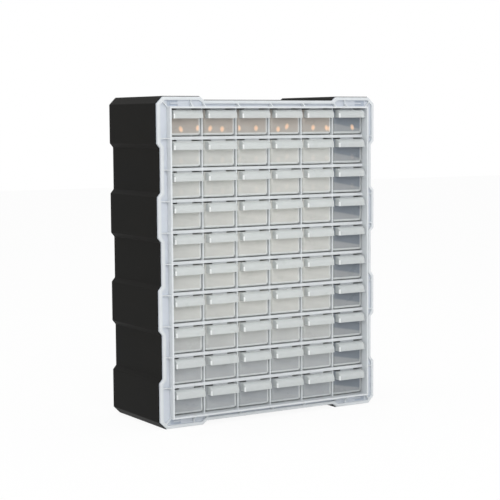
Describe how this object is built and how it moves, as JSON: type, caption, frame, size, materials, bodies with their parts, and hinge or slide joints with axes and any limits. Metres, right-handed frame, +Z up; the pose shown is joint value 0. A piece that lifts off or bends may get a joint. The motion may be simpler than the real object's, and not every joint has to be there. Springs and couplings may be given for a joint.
{
  "type": "small parts drawer cabinet",
  "caption": "Desktop or wall cabinet for small parts: black stepped housing, clear front frame with a grid of cells, and clear pull-out drawers with hooded pulls.",
  "frame": {"origin": "middle of the footprint, on the surface that the cabinet stands on, with every drawer shut", "axes": "+X to the right as seen from the front, +Y from the front to the back (the drawers face -Y), +Z up"},
  "size_m": [0.377, 0.16, 0.475],
  "materials": {
    "black_housing": "satin black polypropylene, fine grain",
    "clear_frame": "translucent natural polypropylene, smooth",
    "clear_drawer": "translucent natural polypropylene, smooth"
  },
  "bodies": {
    "cabinet": {"housing": "black_housing", "front_frame": "clear_frame", "cell_shelves": "clear_frame", "shelf_bands": "clear_frame", "cell_webs": "clear_frame"},
    "drawer_row1_col1": {"drawer_row1_col1": "clear_drawer"},
    "drawer_row1_col2": {"drawer_row1_col2": "clear_drawer"},
    "drawer_row1_col3": {"drawer_row1_col3": "clear_drawer"},
    "drawer_row1_col4": {"drawer_row1_col4": "clear_drawer"},
    "drawer_row1_col5": {"drawer_row1_col5": "clear_drawer"},
    "drawer_row1_col6": {"drawer_row1_col6": "clear_drawer"},
    "drawer_row2_col1": {"drawer_row2_col1": "clear_drawer"},
    "drawer_row2_col2": {"drawer_row2_col2": "clear_drawer"},
    "drawer_row2_col3": {"drawer_row2_col3": "clear_drawer"},
    "drawer_row2_col4": {"drawer_row2_col4": "clear_drawer"},
    "drawer_row2_col5": {"drawer_row2_col5": "clear_drawer"},
    "drawer_row2_col6": {"drawer_row2_col6": "clear_drawer"},
    "drawer_row3_col1": {"drawer_row3_col1": "clear_drawer"},
    "drawer_row3_col2": {"drawer_row3_col2": "clear_drawer"},
    "drawer_row3_col3": {"drawer_row3_col3": "clear_drawer"},
    "drawer_row3_col4": {"drawer_row3_col4": "clear_drawer"},
    "drawer_row3_col5": {"drawer_row3_col5": "clear_drawer"},
    "drawer_row3_col6": {"drawer_row3_col6": "clear_drawer"},
    "drawer_row4_col1": {"drawer_row4_col1": "clear_drawer"},
    "drawer_row4_col2": {"drawer_row4_col2": "clear_drawer"},
    "drawer_row4_col3": {"drawer_row4_col3": "clear_drawer"},
    "drawer_row4_col4": {"drawer_row4_col4": "clear_drawer"},
    "drawer_row4_col5": {"drawer_row4_col5": "clear_drawer"},
    "drawer_row4_col6": {"drawer_row4_col6": "clear_drawer"},
    "drawer_row5_col1": {"drawer_row5_col1": "clear_drawer"},
    "drawer_row5_col2": {"drawer_row5_col2": "clear_drawer"},
    "drawer_row5_col3": {"drawer_row5_col3": "clear_drawer"},
    "drawer_row5_col4": {"drawer_row5_col4": "clear_drawer"},
    "drawer_row5_col5": {"drawer_row5_col5": "clear_drawer"},
    "drawer_row5_col6": {"drawer_row5_col6": "clear_drawer"},
    "drawer_row6_col1": {"drawer_row6_col1": "clear_drawer"},
    "drawer_row6_col2": {"drawer_row6_col2": "clear_drawer"},
    "drawer_row6_col3": {"drawer_row6_col3": "clear_drawer"},
    "drawer_row6_col4": {"drawer_row6_col4": "clear_drawer"},
    "drawer_row6_col5": {"drawer_row6_col5": "clear_drawer"},
    "drawer_row6_col6": {"drawer_row6_col6": "clear_drawer"},
    "drawer_row7_col1": {"drawer_row7_col1": "clear_drawer"},
    "drawer_row7_col2": {"drawer_row7_col2": "clear_drawer"},
    "drawer_row7_col3": {"drawer_row7_col3": "clear_drawer"},
    "drawer_row7_col4": {"drawer_row7_col4": "clear_drawer"},
    "drawer_row7_col5": {"drawer_row7_col5": "clear_drawer"},
    "drawer_row7_col6": {"drawer_row7_col6": "clear_drawer"},
    "drawer_row8_col1": {"drawer_row8_col1": "clear_drawer"},
    "drawer_row8_col2": {"drawer_row8_col2": "clear_drawer"},
    "drawer_row8_col3": {"drawer_row8_col3": "clear_drawer"},
    "drawer_row8_col4": {"drawer_row8_col4": "clear_drawer"},
    "drawer_row8_col5": {"drawer_row8_col5": "clear_drawer"},
    "drawer_row8_col6": {"drawer_row8_col6": "clear_drawer"},
    "drawer_row9_col1": {"drawer_row9_col1": "clear_drawer"},
    "drawer_row9_col2": {"drawer_row9_col2": "clear_drawer"},
    "drawer_row9_col3": {"drawer_row9_col3": "clear_drawer"},
    "drawer_row9_col4": {"drawer_row9_col4": "clear_drawer"},
    "drawer_row9_col5": {"drawer_row9_col5": "clear_drawer"},
    "drawer_row9_col6": {"drawer_row9_col6": "clear_drawer"},
    "drawers_row10": {"drawers_row10": "clear_drawer"}
  },
  "joints": [
    {"name": "drawer_row1_col1_slide", "type": "slide", "parent": "cabinet", "child": "drawer_row1_col1", "axis": [0, -1, 0], "range_m": [0, 0.119]},
    {"name": "drawer_row1_col2_slide", "type": "slide", "parent": "cabinet", "child": "drawer_row1_col2", "axis": [0, -1, 0], "range_m": [0, 0.119]},
    {"name": "drawer_row1_col3_slide", "type": "slide", "parent": "cabinet", "child": "drawer_row1_col3", "axis": [0, -1, 0], "range_m": [0, 0.119]},
    {"name": "drawer_row1_col4_slide", "type": "slide", "parent": "cabinet", "child": "drawer_row1_col4", "axis": [0, -1, 0], "range_m": [0, 0.119]},
    {"name": "drawer_row1_col5_slide", "type": "slide", "parent": "cabinet", "child": "drawer_row1_col5", "axis": [0, -1, 0], "range_m": [0, 0.119]},
    {"name": "drawer_row1_col6_slide", "type": "slide", "parent": "cabinet", "child": "drawer_row1_col6", "axis": [0, -1, 0], "range_m": [0, 0.119]},
    {"name": "drawer_row2_col1_slide", "type": "slide", "parent": "cabinet", "child": "drawer_row2_col1", "axis": [0, -1, 0], "range_m": [0, 0.119]},
    {"name": "drawer_row2_col2_slide", "type": "slide", "parent": "cabinet", "child": "drawer_row2_col2", "axis": [0, -1, 0], "range_m": [0, 0.119]},
    {"name": "drawer_row2_col3_slide", "type": "slide", "parent": "cabinet", "child": "drawer_row2_col3", "axis": [0, -1, 0], "range_m": [0, 0.119]},
    {"name": "drawer_row2_col4_slide", "type": "slide", "parent": "cabinet", "child": "drawer_row2_col4", "axis": [0, -1, 0], "range_m": [0, 0.119]},
    {"name": "drawer_row2_col5_slide", "type": "slide", "parent": "cabinet", "child": "drawer_row2_col5", "axis": [0, -1, 0], "range_m": [0, 0.119]},
    {"name": "drawer_row2_col6_slide", "type": "slide", "parent": "cabinet", "child": "drawer_row2_col6", "axis": [0, -1, 0], "range_m": [0, 0.119]},
    {"name": "drawer_row3_col1_slide", "type": "slide", "parent": "cabinet", "child": "drawer_row3_col1", "axis": [0, -1, 0], "range_m": [0, 0.119]},
    {"name": "drawer_row3_col2_slide", "type": "slide", "parent": "cabinet", "child": "drawer_row3_col2", "axis": [0, -1, 0], "range_m": [0, 0.119]},
    {"name": "drawer_row3_col3_slide", "type": "slide", "parent": "cabinet", "child": "drawer_row3_col3", "axis": [0, -1, 0], "range_m": [0, 0.119]},
    {"name": "drawer_row3_col4_slide", "type": "slide", "parent": "cabinet", "child": "drawer_row3_col4", "axis": [0, -1, 0], "range_m": [0, 0.119]},
    {"name": "drawer_row3_col5_slide", "type": "slide", "parent": "cabinet", "child": "drawer_row3_col5", "axis": [0, -1, 0], "range_m": [0, 0.119]},
    {"name": "drawer_row3_col6_slide", "type": "slide", "parent": "cabinet", "child": "drawer_row3_col6", "axis": [0, -1, 0], "range_m": [0, 0.119]},
    {"name": "drawer_row4_col1_slide", "type": "slide", "parent": "cabinet", "child": "drawer_row4_col1", "axis": [0, -1, 0], "range_m": [0, 0.119]},
    {"name": "drawer_row4_col2_slide", "type": "slide", "parent": "cabinet", "child": "drawer_row4_col2", "axis": [0, -1, 0], "range_m": [0, 0.119]},
    {"name": "drawer_row4_col3_slide", "type": "slide", "parent": "cabinet", "child": "drawer_row4_col3", "axis": [0, -1, 0], "range_m": [0, 0.119]},
    {"name": "drawer_row4_col4_slide", "type": "slide", "parent": "cabinet", "child": "drawer_row4_col4", "axis": [0, -1, 0], "range_m": [0, 0.119]},
    {"name": "drawer_row4_col5_slide", "type": "slide", "parent": "cabinet", "child": "drawer_row4_col5", "axis": [0, -1, 0], "range_m": [0, 0.119]},
    {"name": "drawer_row4_col6_slide", "type": "slide", "parent": "cabinet", "child": "drawer_row4_col6", "axis": [0, -1, 0], "range_m": [0, 0.119]},
    {"name": "drawer_row5_col1_slide", "type": "slide", "parent": "cabinet", "child": "drawer_row5_col1", "axis": [0, -1, 0], "range_m": [0, 0.119]},
    {"name": "drawer_row5_col2_slide", "type": "slide", "parent": "cabinet", "child": "drawer_row5_col2", "axis": [0, -1, 0], "range_m": [0, 0.119]},
    {"name": "drawer_row5_col3_slide", "type": "slide", "parent": "cabinet", "child": "drawer_row5_col3", "axis": [0, -1, 0], "range_m": [0, 0.119]},
    {"name": "drawer_row5_col4_slide", "type": "slide", "parent": "cabinet", "child": "drawer_row5_col4", "axis": [0, -1, 0], "range_m": [0, 0.119]},
    {"name": "drawer_row5_col5_slide", "type": "slide", "parent": "cabinet", "child": "drawer_row5_col5", "axis": [0, -1, 0], "range_m": [0, 0.119]},
    {"name": "drawer_row5_col6_slide", "type": "slide", "parent": "cabinet", "child": "drawer_row5_col6", "axis": [0, -1, 0], "range_m": [0, 0.119]},
    {"name": "drawer_row6_col1_slide", "type": "slide", "parent": "cabinet", "child": "drawer_row6_col1", "axis": [0, -1, 0], "range_m": [0, 0.119]},
    {"name": "drawer_row6_col2_slide", "type": "slide", "parent": "cabinet", "child": "drawer_row6_col2", "axis": [0, -1, 0], "range_m": [0, 0.119]},
    {"name": "drawer_row6_col3_slide", "type": "slide", "parent": "cabinet", "child": "drawer_row6_col3", "axis": [0, -1, 0], "range_m": [0, 0.119]},
    {"name": "drawer_row6_col4_slide", "type": "slide", "parent": "cabinet", "child": "drawer_row6_col4", "axis": [0, -1, 0], "range_m": [0, 0.119]},
    {"name": "drawer_row6_col5_slide", "type": "slide", "parent": "cabinet", "child": "drawer_row6_col5", "axis": [0, -1, 0], "range_m": [0, 0.119]},
    {"name": "drawer_row6_col6_slide", "type": "slide", "parent": "cabinet", "child": "drawer_row6_col6", "axis": [0, -1, 0], "range_m": [0, 0.119]},
    {"name": "drawer_row7_col1_slide", "type": "slide", "parent": "cabinet", "child": "drawer_row7_col1", "axis": [0, -1, 0], "range_m": [0, 0.119]},
    {"name": "drawer_row7_col2_slide", "type": "slide", "parent": "cabinet", "child": "drawer_row7_col2", "axis": [0, -1, 0], "range_m": [0, 0.119]},
    {"name": "drawer_row7_col3_slide", "type": "slide", "parent": "cabinet", "child": "drawer_row7_col3", "axis": [0, -1, 0], "range_m": [0, 0.119]},
    {"name": "drawer_row7_col4_slide", "type": "slide", "parent": "cabinet", "child": "drawer_row7_col4", "axis": [0, -1, 0], "range_m": [0, 0.119]},
    {"name": "drawer_row7_col5_slide", "type": "slide", "parent": "cabinet", "child": "drawer_row7_col5", "axis": [0, -1, 0], "range_m": [0, 0.119]},
    {"name": "drawer_row7_col6_slide", "type": "slide", "parent": "cabinet", "child": "drawer_row7_col6", "axis": [0, -1, 0], "range_m": [0, 0.119]},
    {"name": "drawer_row8_col1_slide", "type": "slide", "parent": "cabinet", "child": "drawer_row8_col1", "axis": [0, -1, 0], "range_m": [0, 0.119]},
    {"name": "drawer_row8_col2_slide", "type": "slide", "parent": "cabinet", "child": "drawer_row8_col2", "axis": [0, -1, 0], "range_m": [0, 0.119]},
    {"name": "drawer_row8_col3_slide", "type": "slide", "parent": "cabinet", "child": "drawer_row8_col3", "axis": [0, -1, 0], "range_m": [0, 0.119]},
    {"name": "drawer_row8_col4_slide", "type": "slide", "parent": "cabinet", "child": "drawer_row8_col4", "axis": [0, -1, 0], "range_m": [0, 0.119]},
    {"name": "drawer_row8_col5_slide", "type": "slide", "parent": "cabinet", "child": "drawer_row8_col5", "axis": [0, -1, 0], "range_m": [0, 0.119]},
    {"name": "drawer_row8_col6_slide", "type": "slide", "parent": "cabinet", "child": "drawer_row8_col6", "axis": [0, -1, 0], "range_m": [0, 0.119]},
    {"name": "drawer_row9_col1_slide", "type": "slide", "parent": "cabinet", "child": "drawer_row9_col1", "axis": [0, -1, 0], "range_m": [0, 0.119]},
    {"name": "drawer_row9_col2_slide", "type": "slide", "parent": "cabinet", "child": "drawer_row9_col2", "axis": [0, -1, 0], "range_m": [0, 0.119]},
    {"name": "drawer_row9_col3_slide", "type": "slide", "parent": "cabinet", "child": "drawer_row9_col3", "axis": [0, -1, 0], "range_m": [0, 0.119]},
    {"name": "drawer_row9_col4_slide", "type": "slide", "parent": "cabinet", "child": "drawer_row9_col4", "axis": [0, -1, 0], "range_m": [0, 0.119]},
    {"name": "drawer_row9_col5_slide", "type": "slide", "parent": "cabinet", "child": "drawer_row9_col5", "axis": [0, -1, 0], "range_m": [0, 0.119]},
    {"name": "drawer_row9_col6_slide", "type": "slide", "parent": "cabinet", "child": "drawer_row9_col6", "axis": [0, -1, 0], "range_m": [0, 0.119]},
    {"name": "drawers_row10_slide", "type": "slide", "parent": "cabinet", "child": "drawers_row10", "axis": [0, -1, 0], "range_m": [0, 0.119]}
  ]
}
